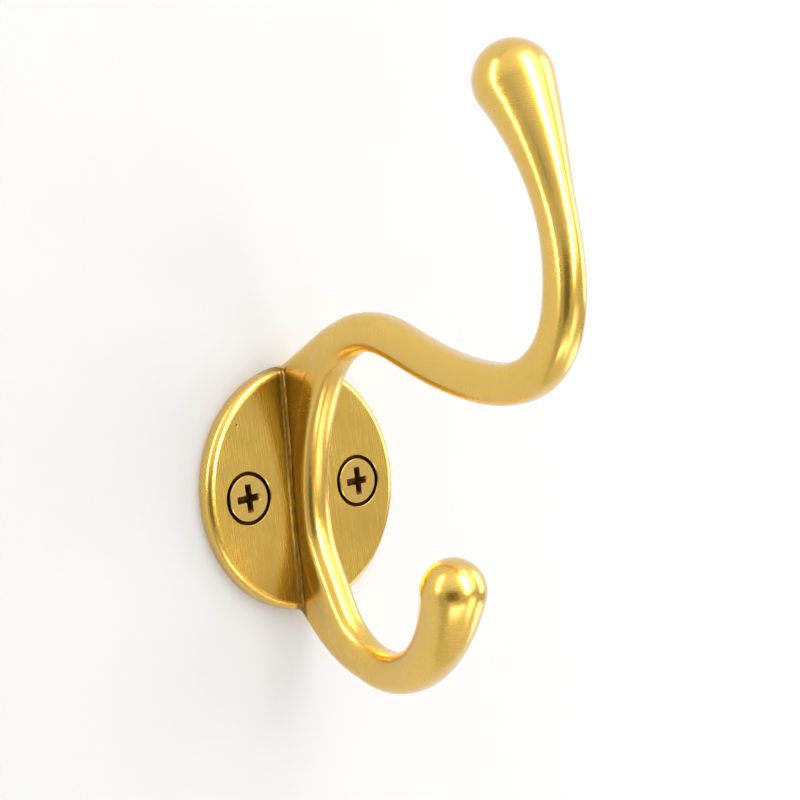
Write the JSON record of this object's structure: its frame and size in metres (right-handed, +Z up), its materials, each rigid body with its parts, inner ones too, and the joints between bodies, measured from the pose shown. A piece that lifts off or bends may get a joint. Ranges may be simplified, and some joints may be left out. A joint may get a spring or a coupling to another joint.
{
  "type": "wall hook",
  "caption": "Double coat hook: a cast oval wall plate with a long upper arm and a short lower arm, both ending in balls, and its fixing screws.",
  "frame": {"origin": "centre of the plate's back face, on the wall", "axes": "+Y into the wall, the arms reach out along -Y, +Z up, X across the plate"},
  "size_m": [0.038, 0.0924, 0.0977],
  "materials": {
    "hook_brass": "satin, brushed",
    "screw_brass": "satin"
  },
  "bodies": {
    "root": {"hook_body": "hook_brass", "mounting_screws": "screw_brass"}
  },
  "joints": []
}
